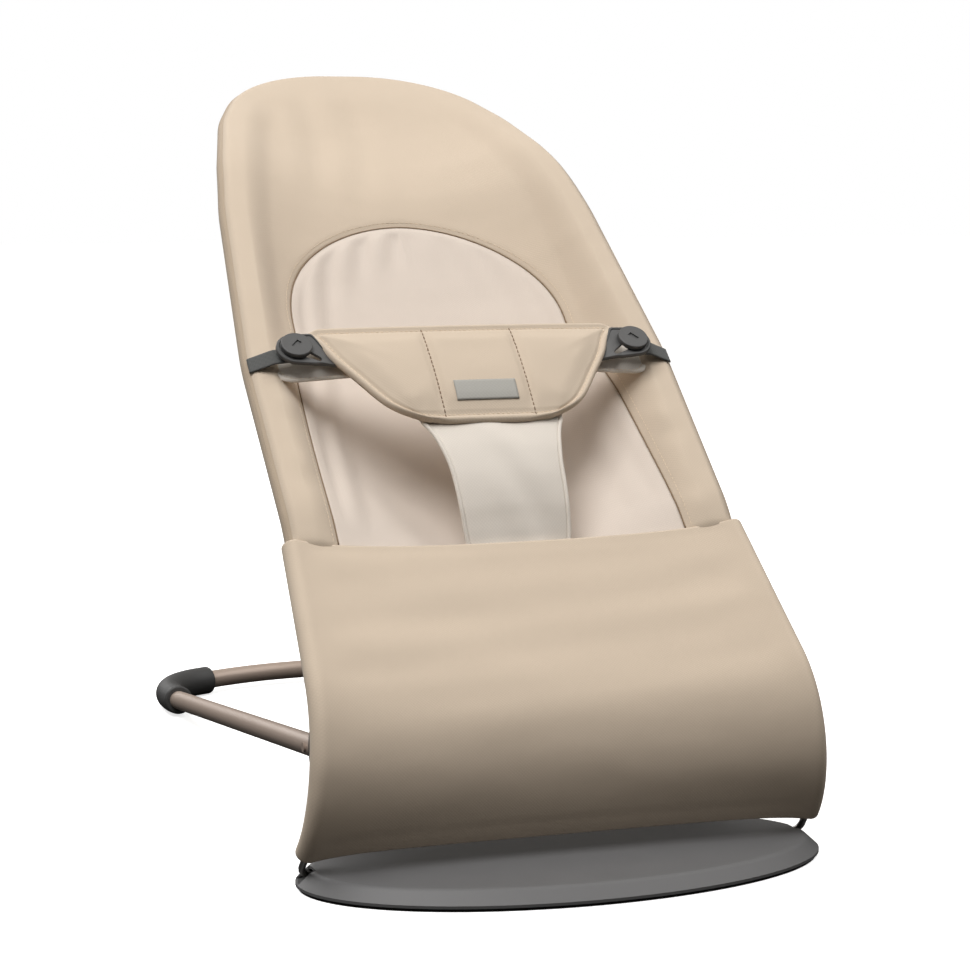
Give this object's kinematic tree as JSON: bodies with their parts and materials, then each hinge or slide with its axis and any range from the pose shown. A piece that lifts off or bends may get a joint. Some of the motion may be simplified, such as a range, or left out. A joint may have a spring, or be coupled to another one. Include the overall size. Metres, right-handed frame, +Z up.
{
  "type": "bouncer seat",
  "caption": "Folding baby bouncer seat: cloth sling on a tube hoop, buttoned bib, spring-wire front on an oval plate, and a folding rear leg",
  "frame": {"origin": "on the floor, midway along and midway across the object", "axes": "X across to the right as seen from the front, Y from the front plate to the rear bar, Z up"},
  "size_m": [0.38, 0.793, 0.5611],
  "materials": {
    "cloth_beige": "matt woven cotton",
    "cloth_cream": "matt woven cotton",
    "cloth_pale": "soft satin weave",
    "webbing_grey": "woven webbing",
    "plastic_grey": "fine grained",
    "plastic_dark": "fine grained",
    "rubber_black": "matt",
    "tube_taupe": "satin metallic paint",
    "steel": "plain"
  },
  "bodies": {
    "seat": {"seat_hoop": "tube_taupe", "hub_housing_left": "plastic_dark", "hub_housing_right": "plastic_dark", "hinge_pin_left": "steel", "hinge_pin_right": "steel", "friction_washers": "rubber_black", "rail_rivets": "steel", "cross_tube": "tube_taupe", "spring_clamp_left": "plastic_dark", "spring_clamp_right": "plastic_dark", "clamp_screws": "steel", "edge_sleeve": "cloth_beige", "calf_panel": "cloth_beige", "inner_panel": "cloth_cream", "outer_panel": "cloth_beige", "back_lining": "cloth_cream", "bib": "cloth_beige", "label_patch": "webbing_grey", "crotch_strip": "cloth_pale", "buckle_plate_left": "plastic_grey", "buckle_plate_right": "plastic_grey", "bib_tab_left": "cloth_pale", "bib_tab_right": "cloth_pale", "strap_left": "webbing_grey", "strap_right": "webbing_grey"},
    "rear_leg": {"leg_tube": "tube_taupe", "leg_eye_left": "plastic_dark", "leg_eye_right": "plastic_dark", "leg_rivets": "steel", "boot_left": "plastic_dark", "boot_right": "plastic_dark"},
    "front_spring": {"spring_bow": "steel"},
    "front_plate": {"plate_tray": "plastic_dark", "plate_cover": "plastic_grey", "plate_grip": "rubber_black", "saddle_caps": "plastic_dark", "plate_screws": "steel"},
    "left_button": {"button_left": "plastic_grey"},
    "right_button": {"button_right": "plastic_grey"}
  },
  "joints": [
    {"name": "leg_fold", "type": "hinge", "parent": "seat", "child": "rear_leg", "pos_m": [0, -0.2465, 0.081], "axis": [1, 0, 0], "range_deg": [0, 45]},
    {"name": "bounce", "type": "slide", "parent": "seat", "child": "front_spring", "axis": [0, 0, 1], "range_m": [-0.012, 0.006], "stiffness_N_per_m": 5000, "springref_m": -0.0025, "deforming": ["spring_bow"]},
    {"name": "plate_tilt", "type": "hinge", "parent": "front_spring", "child": "front_plate", "pos_m": [0, -0.2873, 0.0073], "axis": [1, 0, 0], "range_deg": [-12, 12]},
    {"name": "left_button_slide", "type": "slide", "parent": "seat", "child": "left_button", "axis": [0.7501, -0.5036, -0.4286], "range_m": [0, 0.009], "deforming": ["strap_left"]},
    {"name": "right_button_slide", "type": "slide", "parent": "seat", "child": "right_button", "axis": [-0.7501, -0.5036, -0.4286], "range_m": [0, 0.009], "deforming": ["strap_right"]}
  ]
}
